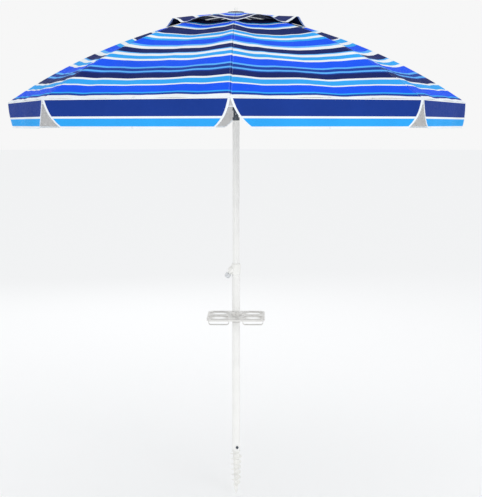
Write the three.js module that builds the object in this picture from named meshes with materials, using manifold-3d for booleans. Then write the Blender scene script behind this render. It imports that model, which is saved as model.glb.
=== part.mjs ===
// A beach umbrella: an eight-rib vented canopy on a tilting, telescopic pole, with a cup tray and a sand auger.
// Millimetres, +Z up. The origin is the tip of the auger, on the axis of the pole.
// The camera side of the umbrella is -Y; rib 1 points that way and the others follow counterclockwise.
import * as THREE from "three";
import { mergeVertices } from "three/addons/utils/BufferGeometryUtils.js";
import Module from "manifold-3d";

const wasm = await Module();
wasm.setup();

// ---------------------------------------------------------------- driving dimensions
const RIBS = 8;
const SECTOR = (2 * Math.PI) / RIBS;
const CLEAR = 0.3; // gap between pieces that touch

const CANOPY_R = 915; // pole axis to a corner of the canopy
const RIM_Z = 1582; // height of the corners
const CROWN_SLOPE = THREE.MathUtils.degToRad(9); // slope of a rib where it leaves the crown
const RIM_SLOPE = THREE.MathUtils.degToRad(34.5); // and where it ends
const PIVOT_R = 24; // pole axis to the rib pivots of the crown, and to the pivots of the runner
const CLOTH = 1.2; // thickness of the cloth as a solid
const PANEL_SAG = 18; // how far the middle of a panel hangs below its ribs
const VENT_R = 200; // the hole of the main canopy, to a corner
const CAP_R = 280; // the vent cap, to a corner
const CROWN_FLAT = 33; // the cap lies flat over the crown hub, to this far from the axis
const CAP_LIFT = 30; // how far the cap's edge billows up between two ribs
const CAP_RISE = 2.2; // the cap's cloth lies this much above the main canopy's line
const VALANCE = 101; // height of the hanging flaps
const HEM_TOP = 1.8; // they start this far below the canopy's corners

const ROD_R = 2.5; // ribs and stretchers
const ROD_DROP = [9.5, 5.0]; // from the cloth's outer face down to a rib's centreline, at crown and tip
const EYE_R = 4.3;
const EYE_T = 4;
const WIRE_R = 1.0; // the wire rings that the eyes turn on
const CLIP_ALONG = 440; // from the crown to a rib clip, along the rib
const CLIP_DROP = 8; // from a rib's centreline down to its clip's rivet

const POLE_R = 14; // upper and middle tubes
const LOWER_R = 16; // lower tube
const WALL = 1.2;
const LOWER_TUBE = [178, 925];
const MID_TUBE = [780, 1511];
const TILT_Z = 1537; // axis of the tilt joint
const TUBE_SIDES = 24;

const COLLAR_Z = [893, 937];
const KNOB_DIP = THREE.MathUtils.degToRad(55); // the clamp screw points this far below the horizontal
const BOSS = [18, 911, 15]; // the collar's boss: distance from the axis, height, radius

const TRAY_Z = 729; // top of the tray
const TRAY_EDGE = 9.5; // height of its skirt
const CLAMP_Z = [TRAY_Z - 27, TRAY_Z + 18]; // the block that grips the pole
const TRAY_HALF = [115, 97]; // half its width and depth
const CUP_AT = [68, 50];
const CUP_R = 38;
const CLAMP_HALF = 14;
const TRAY_SCREW = [-27, TRAY_Z - 9.5]; // the y and z of the screw that clamps the halves

const BOLT_Z = 193;
const AUGER_Z = [25, 173];
const AUGER_R = [17, 24]; // outer radius of the flight at its lower and upper end
const AUGER_TURNS = 7;

// ---------------------------------------------------------------- solids and booleans
function solid(geometry) {
  const bare = geometry.clone();
  for (const name of Object.keys(bare.attributes)) if (name !== "position") bare.deleteAttribute(name);
  const g = mergeVertices(bare, 1e-4);
  const made = new wasm.Manifold(
    new wasm.Mesh({
      numProp: 3,
      vertProperties: new Float32Array(g.attributes.position.array),
      triVerts: new Uint32Array(g.index.array),
    }),
  );
  if (made.volume() >= 0) return made;
  const turned = g.index.array.slice();
  for (let i = 0; i < turned.length; i += 3) [turned[i], turned[i + 1]] = [turned[i + 1], turned[i]];
  return new wasm.Manifold(
    new wasm.Mesh({
      numProp: 3,
      vertProperties: new Float32Array(g.attributes.position.array),
      triVerts: new Uint32Array(turned),
    }),
  );
}

function geometryOf(manifold) {
  const m = manifold.getMesh();
  const g = new THREE.BufferGeometry();
  const at = new Float32Array((m.vertProperties.length / m.numProp) * 3);
  for (let i = 0; i < at.length / 3; i++)
    for (let k = 0; k < 3; k++) at[3 * i + k] = m.vertProperties[i * m.numProp + k];
  g.setAttribute("position", new THREE.BufferAttribute(at, 3));
  g.setIndex(new THREE.BufferAttribute(new Uint32Array(m.triVerts), 1));
  return g;
}

const join = (first, ...rest) => rest.reduce((a, b) => a.add(b), first);
const cut = (first, ...rest) => rest.reduce((a, b) => a.subtract(b), first);

// A closed profile of [radius, height] turned about Z.
function turned(profile, sides = TUBE_SIDES) {
  const points = [...profile, profile[0]].map(([r, z]) => new THREE.Vector2(r, z));
  return solid(new THREE.LatheGeometry(points, sides).rotateX(Math.PI / 2));
}

// A profile of [radius, height] that starts and ends on the axis, turned about Z.
function spindle(profile, sides = TUBE_SIDES) {
  const points = profile.map(([r, z]) => new THREE.Vector2(r, z));
  return solid(new THREE.LatheGeometry(points, sides).rotateX(Math.PI / 2));
}

const tube = (inner, outer, [low, high], sides) =>
  turned([[inner, low], [outer, low], [outer, high], [inner, high]], sides);
const disc = (r, [low, high], sides) => spindle([[0, low], [r, low], [r, high], [0, high]], sides);

const box = ([x0, x1], [y0, y1], [z0, z1]) =>
  solid(
    new THREE.BoxGeometry(x1 - x0, y1 - y0, z1 - z0).translate((x0 + x1) / 2, (y0 + y1) / 2, (z0 + z1) / 2),
  );

// A round bar of radius r between two points.
function bar(r, from, to, sides = 12) {
  const a = new THREE.Vector3(...from);
  const b = new THREE.Vector3(...to);
  const g = new THREE.CylinderGeometry(r, r, a.distanceTo(b), sides);
  const turn = new THREE.Quaternion().setFromUnitVectors(
    new THREE.Vector3(0, 1, 0),
    b.clone().sub(a).normalize(),
  );
  const middle = a.add(b).multiplyScalar(0.5);
  return solid(g.applyQuaternion(turn).translate(middle.x, middle.y, middle.z));
}

// A plane outline of [x, z] points, with y from one side to the other.
function slab(outline, [y0, y1], holes = []) {
  const shape = new THREE.Shape(outline.map(([x, z]) => new THREE.Vector2(x, z)));
  for (const h of holes) shape.holes.push(new THREE.Path(h.map(([x, z]) => new THREE.Vector2(x, z))));
  const g = new THREE.ExtrudeGeometry(shape, { depth: y1 - y0, bevelEnabled: false });
  return solid(g.rotateX(Math.PI / 2).translate(0, y1, 0));
}

// A horizontal outline of [x, y] points, between two heights.
function plate(outline, [z0, z1], holes = []) {
  const shape = new THREE.Shape(outline.map(([x, y]) => new THREE.Vector2(x, y)));
  for (const h of holes) shape.holes.push(new THREE.Path(h.map(([x, y]) => new THREE.Vector2(x, y))));
  return solid(new THREE.ExtrudeGeometry(shape, { depth: z1 - z0, bevelEnabled: false }).translate(0, 0, z0));
}

const circle = (r, [x, y] = [0, 0], sides = 16) =>
  Array.from({ length: sides }, (_, k) => {
    const a = (2 * Math.PI * k) / sides;
    return [x + r * Math.cos(a), y + r * Math.sin(a)];
  });

// ---------------------------------------------------------------- the canopy's line
// Seen from the side, a rib's cloth line is an arc whose slope grows from CROWN_SLOPE to RIM_SLOPE.
const ARC_R = (CANOPY_R - PIVOT_R) / (Math.sin(RIM_SLOPE) - Math.sin(CROWN_SLOPE));
const ARC_X = CANOPY_R - ARC_R * Math.sin(RIM_SLOPE);
const ARC_Z = RIM_Z - ARC_R * Math.cos(RIM_SLOPE);
const slopeAt = (r) => Math.asin((r - ARC_X) / ARC_R);
const clothZ = (r) => ARC_Z + ARC_R * Math.cos(slopeAt(r));

// A rib's centreline, at a share of the way from crown to tip.
function ribPoint(share) {
  const drop = THREE.MathUtils.lerp(...ROD_DROP, share);
  const start = PIVOT_R + ROD_DROP[0] * Math.sin(slopeAt(PIVOT_R));
  const slope = THREE.MathUtils.lerp(slopeAt(start), slopeAt(CANOPY_R - 4), share);
  const r = ARC_X + ARC_R * Math.sin(slope);
  return new THREE.Vector3(r - drop * Math.sin(slope), 0, clothZ(r) - drop * Math.cos(slope));
}

const RIB_LENGTH = ribPoint(0).distanceTo(ribPoint(0.5)) + ribPoint(0.5).distanceTo(ribPoint(1));
const CROWN_PIVOT = ribPoint(0);

class RibLine extends THREE.Curve {
  constructor(from, to) {
    super();
    this.from = from;
    this.to = to;
  }
  getPoint(t) {
    return ribPoint(THREE.MathUtils.lerp(this.from, this.to, t));
  }
}

// The clip's rivet. The runner's pivots lie as far below the middle of the linkage as the crown's lie above it,
// so the runner moves along the pole without turning.
const CLIP_SHARE = CLIP_ALONG / RIB_LENGTH;
const clipMiddle = ribPoint(CLIP_SHARE);
const clipSlope = slopeAt(clipMiddle.x);
const CLIP_PIVOT = clipMiddle
  .clone()
  .add(new THREE.Vector3(-Math.sin(clipSlope), 0, -Math.cos(clipSlope)).multiplyScalar(CLIP_DROP));
const RUNNER_Z = 2 * CLIP_PIVOT.z - CROWN_PIVOT.z;
const RUNNER_PIVOT = new THREE.Vector3(PIVOT_R, 0, RUNNER_Z);

// ---------------------------------------------------------------- cloth
// A closed sheet from a grid of upper and lower points: at(row, column) gives the pair, each from 0 to 1.
// A round sheet joins its last column to its first.
function sheet(rows, columns, at, round = false) {
  const up = [];
  const low = [];
  const wide = round ? columns : columns + 1;
  for (let i = 0; i <= rows; i++)
    for (let j = 0; j < wide; j++) {
      const [a, b] = at(i / rows, j / columns);
      up.push(...a);
      low.push(...b);
    }
  const n = (rows + 1) * wide;
  const id = (i, j) => i * wide + (j % wide);
  const faces = [];
  const quad = (a, b, c, d) => faces.push(a, b, c, a, c, d);
  for (let i = 0; i < rows; i++)
    for (let j = 0; j < columns; j++) {
      quad(id(i, j), id(i + 1, j), id(i + 1, j + 1), id(i, j + 1));
      quad(n + id(i, j), n + id(i, j + 1), n + id(i + 1, j + 1), n + id(i + 1, j));
    }
  for (let i = 0; i < rows && !round; i++) {
    quad(id(i, 0), n + id(i, 0), n + id(i + 1, 0), id(i + 1, 0));
    quad(id(i, columns), id(i + 1, columns), n + id(i + 1, columns), n + id(i, columns));
  }
  for (let j = 0; j < columns; j++) {
    quad(id(0, j), id(0, j + 1), n + id(0, j + 1), n + id(0, j));
    quad(id(rows, j), n + id(rows, j), n + id(rows, j + 1), id(rows, j + 1));
  }
  const g = new THREE.BufferGeometry();
  g.setAttribute("position", new THREE.BufferAttribute(new Float32Array([...up, ...low]), 3));
  g.setIndex(faces);
  return solid(g);
}

// A point of the cloth round one rib: r is its ring's corner distance, across runs from -1 to 1 between the
// middles of the two panels beside the rib. The border stays clear of the next rib's cloth.
function clothPoint(r, across, z, depth) {
  const t = Math.abs(across);
  const half = SECTOR / 2;
  const x = r * (1 - t * (1 - Math.cos(half) ** 2));
  const y = r * t * Math.cos(half) * Math.sin(half);
  const back = t > 0.999 ? CLEAR / 2 : 0;
  const slope = slopeAt(Math.max(r, PIVOT_R));
  const facing = t > 0.001 ? half : 0; // the panels' cloth faces their middles
  const inwards = depth * Math.sin(slope);
  return [
    x + back * Math.sin(half) - inwards * Math.cos(facing),
    Math.sign(across) * (y - back * Math.cos(half) - inwards * Math.sin(facing)),
    z - depth * Math.cos(slope),
  ];
}

const hang = (t) => t * (2 - t); // a panel's hanging line, from a rib to the middle
const billow = (t) => Math.sin((Math.PI / 2) * t) ** 2;

function canopyGore() {
  return sheet(8, 4, (along, side) => {
    const r = THREE.MathUtils.lerp(VENT_R, CANOPY_R, along);
    const across = 2 * side - 1;
    const sag = PANEL_SAG * Math.sin(Math.PI * Math.min(1, (r - 60) / (CANOPY_R - 60))) ** 0.8;
    const z = clothZ(r) - sag * hang(Math.abs(across));
    return [clothPoint(r, across, z, 0), clothPoint(r, across, z, CLOTH)];
  });
}

// One hanging half-flap: along the rim from the corner to the middle of the panel. It curves away from the
// corner towards the hem.
function halfFlap(side) {
  const reach = CANOPY_R * Math.sin(SECTOR / 2) - CLEAR / 2;
  const gap = (t) => 3 + 45 * t ** 2;
  const edge = [0.07, 0.3, 0.55, 0.8, 1].map((t) => [gap(t), -VALANCE * t]);
  const outline = [[-0.5, -HEM_TOP], [-0.5, -7], ...edge, [reach, -VALANCE], [reach, -HEM_TOP]];
  const g = geometryOf(slab(outline, [CLEAR, CLEAR + CLOTH]));
  // the slab's x runs along the rim, its y inwards
  g.rotateZ(Math.PI / 2 + SECTOR / 2).translate(CANOPY_R, 0, RIM_Z);
  if (side < 0) g.applyMatrix4(new THREE.Matrix4().makeScale(1, -1, 1));
  return solid(g);
}

const valance = () => join(halfFlap(1), halfFlap(-1));

// The cap lies flat over the crown hub, then follows the ribs' line and billows up between them.
function ventCap() {
  const shape = (along, round) => {
    const r = along === 0 ? 12 : THREE.MathUtils.lerp(CROWN_FLAT, CAP_R, (5 * along - 1) / 4);
    const rib = Math.round(round * RIBS);
    const across = 2 * (round * RIBS - rib);
    const out = Math.max(0, (r - CROWN_FLAT) / (CAP_R - CROWN_FLAT));
    const lift = CAP_LIFT * out ** 1.5 * billow(Math.abs(across));
    const z = clothZ(r <= CROWN_FLAT ? PIVOT_R : r) + CAP_RISE + lift;
    return [0, CLOTH].map((depth) => {
      const p = new THREE.Vector3(...clothPoint(r, Math.min(across, 0.999), z, depth));
      return p.applyAxisAngle(new THREE.Vector3(0, 0, 1), rib * SECTOR).toArray();
    });
  };
  return sheet(5, 4 * RIBS, shape, true);
}

// ---------------------------------------------------------------- ribs, clips and stretchers
const along = (p, direction, length) => p.clone().addScaledVector(direction, length);
const eye = (p, r, t) => bar(r, [p.x, -t / 2, p.z], [p.x, t / 2, p.z], 8);

function rib() {
  const from = 3.4 / RIB_LENGTH;
  const round = new THREE.Shape(circle(ROD_R, [0, 0], 6).map((p) => new THREE.Vector2(...p)));
  const rod = new THREE.ExtrudeGeometry(round, {
    steps: 8,
    bevelEnabled: false,
    extrudePath: new RibLine(from, 1),
  });
  const end = ribPoint(1);
  const out = end.clone().sub(ribPoint(0.97)).normalize();
  const tip = bar(3.4, along(end, out, -14).toArray(), along(end, out, 0.6).toArray(), 6);
  const all = join(solid(rod), eye(CROWN_PIVOT, EYE_R, EYE_T), tip);
  return cut(all, eye(CROWN_PIVOT, WIRE_R + 0.4, 3 * EYE_T));
}

function ribClip() {
  // drawn with the rib along x and the rivet at the origin
  const top = CLIP_DROP + 0.8;
  const body = box([-9, 9], [-5.2, 5.2], [-4.2, top]);
  const free = ROD_R + 0.5;
  const channel = box([-20, 20], [-free, free], [CLIP_DROP - free, top + 5]);
  const mouth = join(
    box([-20, 20], [-1.9, 1.9], [-10, 1.2]),
    bar(5.0, [0, -1.9, 0], [0, 1.9, 0], 8),
    box([-20, 0], [-1.9, 1.9], [-10, 3.6]),
  );
  const rivet = bar(1.5, [0, -6, 0], [0, 6, 0], 6);
  const clip = join(cut(body, channel, mouth), rivet);
  const g = geometryOf(clip).rotateY(clipSlope);
  return solid(g.translate(CLIP_PIVOT.x, 0, CLIP_PIVOT.z));
}

function stretcher() {
  const way = CLIP_PIVOT.clone().sub(RUNNER_PIVOT).normalize();
  const at = (length, from = RUNNER_PIVOT) => along(from, way, length).toArray();
  const rod = bar(ROD_R, at(3.4), at(-12, CLIP_PIVOT), 6);
  const length = CLIP_PIVOT.distanceTo(RUNNER_PIVOT);
  const tongue = geometryOf(
    join(box([length - 16, length], [-1.5, 1.5], [-2.2, 2.2]), bar(3.6, [length, -1.5, 0], [length, 1.5, 0], 8)),
  )
    .rotateY(-Math.atan2(way.z, way.x))
    .translate(RUNNER_PIVOT.x, 0, RUNNER_PIVOT.z);
  const all = join(rod, solid(tongue), eye(RUNNER_PIVOT, EYE_R, EYE_T));
  return cut(all, eye(RUNNER_PIVOT, WIRE_R + 0.4, 3 * EYE_T), eye(CLIP_PIVOT, 1.9, 3 * EYE_T));
}

// A wire ring: straight from eye to eye, with its corners between the ribs.
function ring(z, r) {
  const corner = PIVOT_R / Math.cos(SECTOR / 2);
  const g = geometryOf(turned(circle(r, [corner, z], 6), RIBS));
  return solid(g.rotateZ(SECTOR / 2 + Math.PI / 2));
}

const eachRib = (make) => Array.from({ length: RIBS }, (_, k) => make(-Math.PI / 2 + k * SECTOR));
const slots = (z, inner, half) =>
  eachRib((angle) => solid(geometryOf(box([inner, 34], [-half, half], z)).rotateZ(angle)));

// ---------------------------------------------------------------- crown and runner
const CROWN_TOP = clothZ(PIVOT_R) + CAP_RISE - CLOTH - 0.5;
const UPPER_TUBE = [TILT_Z + 27, CROWN_PIVOT.z - 8];

function crownHub() {
  const hub = spindle([
    [0, UPPER_TUBE[1] + CLEAR],
    [POLE_R + 0.4, UPPER_TUBE[1] + CLEAR],
    [POLE_R + 0.4, UPPER_TUBE[1] - 16],
    [18, UPPER_TUBE[1] - 16],
    [18, CROWN_PIVOT.z - 6],
    [30, CROWN_PIVOT.z - 6],
    [30, CROWN_TOP - 1.2],
    [28.5, CROWN_TOP],
    [0, CROWN_TOP],
  ]);
  return cut(
    hub,
    ...slots([CROWN_PIVOT.z - 8, CROWN_PIVOT.z + 4.9], 18.7, 2.9),
    ring(CROWN_PIVOT.z, WIRE_R + 0.35),
    disc(4.4, [CROWN_TOP - 10, CROWN_TOP + 1], 16),
  );
}

function finial() {
  const base = CROWN_TOP + 2 * CLOTH;
  return spindle(
    [
      [0, CROWN_TOP - 9],
      [4, CROWN_TOP - 9],
      [4, base],
      [31, base],
      [33, base + 1],
      [31, base + 3],
      [18, base + 5.5],
      [9.5, base + 7.5],
      [7, base + 9.5],
      [7.6, base + 14],
      [6.2, base + 18],
      [3.4, base + 20.2],
      [0, base + 20.8],
    ],
    16,
  );
}

const RUNNER_BORE = 15.6;
const RUNNER_LOW = RUNNER_Z - 38;

function runner() {
  const body = turned([
    [RUNNER_BORE, RUNNER_LOW],
    [24, RUNNER_LOW],
    [25, RUNNER_LOW + 2],
    [21, RUNNER_LOW + 8],
    [21, RUNNER_Z - 12],
    [30, RUNNER_Z - 7],
    [30, RUNNER_Z + 5],
    [RUNNER_BORE, RUNNER_Z + 5],
  ]);
  return cut(
    body,
    ...slots([RUNNER_Z - 4.9, RUNNER_Z + 8], 18.9, 2.9),
    ring(RUNNER_Z, WIRE_R + 0.35),
  );
}

const CATCH_Z = RUNNER_LOW - 5;

function runnerCatch() {
  const inner = POLE_R - WALL - 2.6;
  const leaf = box([-4, 4], [-inner, -inner + 1.2], [CATCH_Z - 26, CATCH_Z + 6]);
  return join(leaf, bar(3, [0, -inner, CATCH_Z], [0, -14.5, CATCH_Z], 14));
}

function upperTube() {
  const hole = bar(3.5, [0, -20, CATCH_Z], [0, -8, CATCH_Z], 14);
  return cut(tube(POLE_R - WALL, POLE_R, UPPER_TUBE), hole);
}

// ---------------------------------------------------------------- tilt joint
const KNUCKLE_R = 14.2; // inside the runner's bore, which passes over the joint when the canopy is closed
const EAR_R = 10;
const FLANGE_GAP = 13.5;
const PLUG_R = POLE_R - WALL - CLEAR;
const PIN_R = 2.5;

// An upright tongue round the tilt axis, from y0 to y1, that reaches to height z.
const lug = ([y0, y1], z) =>
  join(
    bar(EAR_R, [0, y0, TILT_Z], [0, y1, TILT_Z], 24),
    box([-EAR_R, EAR_R], [y0, y1], [Math.min(z, TILT_Z), Math.max(z, TILT_Z)]),
  );
const pinHole = () => bar(PIN_R + 0.4, [0, -20, TILT_Z], [0, 20, TILT_Z], 14);

function tiltLower() {
  const top = TILT_Z - FLANGE_GAP;
  const ears = join(lug([5.2, 16], top - 1), lug([-16, -5.2], top - 1));
  const trimmed = ears.intersect(disc(KNUCKLE_R, [top - 2, TILT_Z + 20]));
  const plug = spindle([
    [0, MID_TUBE[1] - 26],
    [PLUG_R, MID_TUBE[1] - 26],
    [PLUG_R, MID_TUBE[1] + CLEAR],
    [KNUCKLE_R, MID_TUBE[1] + CLEAR],
    [KNUCKLE_R, top],
    [0, top],
  ]);
  return cut(join(plug, trimmed), pinHole());
}

function tiltUpper() {
  const low = TILT_Z + FLANGE_GAP;
  const plug = spindle([
    [0, low],
    [KNUCKLE_R, low],
    [KNUCKLE_R, UPPER_TUBE[0] - CLEAR],
    [PLUG_R, UPPER_TUBE[0] - CLEAR],
    [PLUG_R, UPPER_TUBE[0] + 26],
    [0, UPPER_TUBE[0] + 26],
  ]);
  return cut(join(plug, lug([-4.8, 4.8], low + 1)), pinHole());
}

const tiltPin = () => bar(PIN_R, [0, -13, TILT_Z], [0, 13, TILT_Z], 14);

// ---------------------------------------------------------------- height lock
const knobWay = new THREE.Vector3(-Math.cos(KNOB_DIP), 0, -Math.sin(KNOB_DIP));
const bossMiddle = new THREE.Vector3(-BOSS[0], 0, BOSS[1]);

function lockCollar() {
  const sleeve = spindle([
    [0, COLLAR_Z[0]],
    [17.6, COLLAR_Z[0]],
    [18.5, COLLAR_Z[0] + 1.5],
    [18.5, COLLAR_Z[1] - 3],
    [17, COLLAR_Z[1]],
    [0, COLLAR_Z[1]],
  ]);
  const ball = solid(new THREE.SphereGeometry(BOSS[2], 14, 8).translate(...bossMiddle.toArray()));
  const nose = bar(8, bossMiddle.toArray(), along(bossMiddle, knobWay, 17).toArray(), 16);
  return cut(
    join(sleeve, ball, nose),
    disc(POLE_R + 0.5, [COLLAR_Z[0] - 9, COLLAR_Z[1] + 5]),
    disc(LOWER_R + CLEAR, [COLLAR_Z[0] - 12, LOWER_TUBE[1] + CLEAR]),
    bar(4.4, along(bossMiddle, knobWay, 5).toArray(), along(bossMiddle, knobWay, 40).toArray(), 14),
  );
}

// Drawn along +Z from the boss's middle, then laid along the screw's axis.
function lockKnob() {
  const lobes = Array.from({ length: 30 }, (_, k) => {
    const a = (2 * Math.PI * k) / 30;
    const r = 11.6 + 1.2 * Math.cos(6 * a);
    return [r * Math.cos(a), r * Math.sin(a)];
  });
  const shaft = disc(4, [6, 24], 14);
  const dome = spindle([[0, 30], [9.5, 30], [9, 34.5], [6, 36.5], [0, 37]], 18);
  return join(shaft, plate(lobes, [19, 33]), dome);
}

// ---------------------------------------------------------------- tray
function roundedOutline([hx, hy], corner, steps = 3) {
  const points = [];
  for (let q = 0; q < 4; q++) {
    const [sx, sy] = [[1, 1], [-1, 1], [-1, -1], [1, -1]][q];
    for (let k = 0; k <= steps; k++) {
      const a = (q + k / steps) * (Math.PI / 2);
      points.push([sx * (hx - corner) + corner * Math.cos(a), sy * (hy - corner) + corner * Math.sin(a)]);
    }
  }
  return points;
}

// A strap that hangs under a cup hole and carries the cup.
function strap([x, y]) {
  const deep = 27;
  const r = CUP_R + 0.8;
  const t = 2.4;
  const arc = (radius, depth) =>
    [0, 0.25, 0.5, 0.75, 1].map((k) => {
      const a = Math.PI * (1 + k * 0.5);
      return [9 * Math.cos(a) - (radius - 9), depth + 9 + 9 * Math.sin(a)];
    });
  const outer = arc(r + t, -deep - t);
  const inner = arc(r, -deep);
  const mirror = (points) => points.map(([u, w]) => [-u, w]).reverse();
  const outline = [
    [-r - t, 0],
    ...outer,
    ...mirror(outer),
    [r + t, 0],
    [r, 0],
    ...mirror(inner).reverse(),
    ...inner.reverse(),
    [-r, 0],
  ];
  return solid(geometryOf(slab(outline, [-8, 8])).translate(x, y, TRAY_Z - 2));
}

function trayHalf(side) {
  const outer = roundedOutline(TRAY_HALF, 22);
  const inner = roundedOutline([TRAY_HALF[0] - 2.4, TRAY_HALF[1] - 2.4], 19.6);
  const cups = [-1, 1].map((s) => [side * CUP_AT[0], s * CUP_AT[1]]);
  const holes = cups.map((at) => circle(CUP_R, at));
  const top = plate(outer, [TRAY_Z - 3, TRAY_Z]);
  const skirt = plate(outer, [TRAY_Z - TRAY_EDGE, TRAY_Z - 1], [inner]);
  const collars = cups.map((at) => plate(circle(CUP_R + 2.4, at), [TRAY_Z - 8, TRAY_Z - 1]));
  const hub = disc(22, [TRAY_Z - 20, TRAY_Z + 5]);
  const block = box([-CLAMP_HALF, CLAMP_HALF], [-34, -14], CLAMP_Z);
  const straps = cups.map(strap);
  const whole = cut(
    join(top, skirt, ...collars, hub, block),
    ...holes.map((h) => plate(h, [TRAY_Z - 30, TRAY_Z + 10])),
    disc(LOWER_R + CLEAR, [CLAMP_Z[0] - 5, CLAMP_Z[1] + 5]),
    bar(2.9, [-30, ...TRAY_SCREW], [30, ...TRAY_SCREW], 12),
  );
  const mine = side < 0 ? [-200, -CLEAR / 2] : [CLEAR / 2, 200];
  return join(whole, ...straps).intersect(box(mine, [-200, 200], [TRAY_Z - 60, TRAY_Z + 20]));
}

function trayScrew() {
  const [y, z] = TRAY_SCREW;
  return join(
    bar(2.5, [-CLAMP_HALF - 4, y, z], [CLAMP_HALF + 4, y, z], 12),
    bar(5, [-CLAMP_HALF - 4, y, z], [-CLAMP_HALF - CLEAR, y, z], 16),
    bar(4.8, [CLAMP_HALF + CLEAR, y, z], [CLAMP_HALF + 4.5, y, z], 6),
  );
}

// ---------------------------------------------------------------- sand auger
const BOLT_TURN = THREE.MathUtils.degToRad(15); // the bolt's head faces this far right of straight ahead

// The flight of the auger: a right-hand helix whose thin blade starts inside the core.
function flight() {
  const perTurn = 8;
  const steps = AUGER_TURNS * perTurn;
  const section = [];
  for (let i = 0; i <= steps; i++) {
    const share = i / steps;
    const a = 2 * Math.PI * AUGER_TURNS * share;
    const z = THREE.MathUtils.lerp(...AUGER_Z, share);
    const fade = Math.min(1, (i + 2) / 8, (steps - i + 4) / 8);
    const core = coreRadius(z) - 2.5;
    const rim = core + (THREE.MathUtils.lerp(...AUGER_R, share) - core) * fade;
    for (const [r, dz] of [[core, -2.2], [rim, -0.7], [rim, 0.7], [core, 2.2]])
      section.push(r * Math.cos(a), r * Math.sin(a), z + dz);
  }
  const faces = [];
  for (let i = 0; i < steps; i++)
    for (let k = 0; k < 4; k++) {
      const [a, b] = [4 * i + k, 4 * i + ((k + 1) % 4)];
      faces.push(a, b, b + 4, a, b + 4, a + 4);
    }
  const last = 4 * steps;
  faces.push(0, 2, 1, 0, 3, 2, last, last + 1, last + 2, last, last + 2, last + 3);
  const g = new THREE.BufferGeometry();
  g.setAttribute("position", new THREE.BufferAttribute(new Float32Array(section), 3));
  g.setIndex(faces);
  return solid(g);
}

const coreRadius = (z) => THREE.MathUtils.lerp(7, 12.5, THREE.MathUtils.clamp((z - 20) / 150, 0, 1));

function boltLine(from, to) {
  const [x, y] = [Math.sin(BOLT_TURN), -Math.cos(BOLT_TURN)];
  return [
    [x * from, y * from, BOLT_Z],
    [x * to, y * to, BOLT_Z],
  ];
}

function sandAnchor() {
  const core = spindle(
    [
      [0, 0],
      [1.2, 0.4],
      [coreRadius(20), 20],
      [coreRadius(170), 170],
      [LOWER_R + 1.5, 172],
      [LOWER_R + 1.5, LOWER_TUBE[0] - CLEAR],
      [LOWER_R - WALL - 0.4, LOWER_TUBE[0] - CLEAR],
      [LOWER_R - WALL - 0.4, 236],
      [0, 236],
    ],
    12,
  );
  return cut(join(core, flight()), bar(3.4, ...boltLine(30, -30), 14));
}

function anchorBolt() {
  return join(
    bar(3, ...boltLine(18, -20.5), 14),
    bar(5.5, ...boltLine(LOWER_R + CLEAR, LOWER_R + 4), 16),
    bar(5.8, ...boltLine(-LOWER_R - CLEAR, -LOWER_R - 4.5), 6),
  );
}

const lowerTube = () => cut(tube(LOWER_R - WALL, LOWER_R, LOWER_TUBE), bar(3.4, ...boltLine(30, -30), 14));

// ---------------------------------------------------------------- materials
const finish = (colour, roughness, metalness) => () =>
  new THREE.MeshStandardMaterial({ color: colour, roughness, metalness });
const whitePaint = finish(0xf2f3f3, 0.35, 0.1);
const whitePlastic = finish(0xf1f1ec, 0.45, 0);
const greyPlastic = finish(0xc9cbcd, 0.5, 0);
const steel = finish(0xb9bcc0, 0.3, 0.9);
const darkMetal = finish(0x4b4f55, 0.4, 0.7);
const stripedCloth = finish(0x1f5ad0, 0.85, 0);

// ---------------------------------------------------------------- assembly
const umbrella = new THREE.Group();

function add(parent, name, shape, material) {
  const mesh = new THREE.Mesh(shape.isBufferGeometry ? shape : geometryOf(shape), material());
  mesh.name = name;
  parent.add(mesh);
  return mesh;
}

// The lower pole, which goes into the sand
add(umbrella, "sand_anchor", sandAnchor(), whitePlastic);
add(umbrella, "anchor_bolt", anchorBolt(), darkMetal);
add(umbrella, "lower_tube", lowerTube(), whitePaint);
add(umbrella, "lock_collar", lockCollar(), whitePlastic);
const knob = add(umbrella, "lock_knob", lockKnob(), greyPlastic);
knob.position.copy(bossMiddle);
knob.rotation.y = -Math.PI / 2 - KNOB_DIP;
add(umbrella, "tray_half_left", trayHalf(-1), whitePlastic);
add(umbrella, "tray_half_right", trayHalf(1), whitePlastic);
add(umbrella, "tray_screw", trayScrew(), steel);

// The sliding middle pole and the tilt joint
add(umbrella, "mid_tube", tube(POLE_R - WALL, POLE_R, MID_TUBE), whitePaint);
add(umbrella, "tilt_lower_knuckle", tiltLower(), darkMetal);
add(umbrella, "tilt_upper_knuckle", tiltUpper(), darkMetal);
add(umbrella, "tilt_pin", tiltPin(), steel);

// The upper pole and its head
add(umbrella, "upper_tube", upperTube(), whitePaint);
add(umbrella, "runner_catch", runnerCatch(), steel);
add(umbrella, "crown_hub", crownHub(), whitePlastic);
add(umbrella, "crown_ring", ring(CROWN_PIVOT.z, WIRE_R), steel);
add(umbrella, "finial", finial(), whitePlastic);
add(umbrella, "runner", runner(), whitePlastic);
add(umbrella, "runner_ring", ring(RUNNER_Z, WIRE_R), steel);
add(umbrella, "vent_cap", ventCap(), stripedCloth);

// The eight ribs, each with its clip, its stretcher and the cloth that it carries
const spoke = {
  rib: [rib, steel],
  rib_clip: [ribClip, whitePlastic],
  stretcher: [stretcher, steel],
  canopy_gore: [canopyGore, stripedCloth],
  valance: [valance, stripedCloth],
};
const spokeShapes = Object.entries(spoke).map(([name, [make, material]]) => [name, geometryOf(make()), material]);
eachRib((angle) => angle).forEach((angle, k) => {
  const group = new THREE.Group();
  group.rotation.z = angle;
  for (const [name, shape, material] of spokeShapes) add(group, `${name}_${k + 1}`, shape, material);
  umbrella.add(group);
});

export default umbrella;
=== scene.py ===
# The looks of the beach umbrella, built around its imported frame. Metres, +Z up, the front towards -Y.
import math

import bmesh
import bpy
from mathutils import Matrix, Vector, noise


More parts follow.
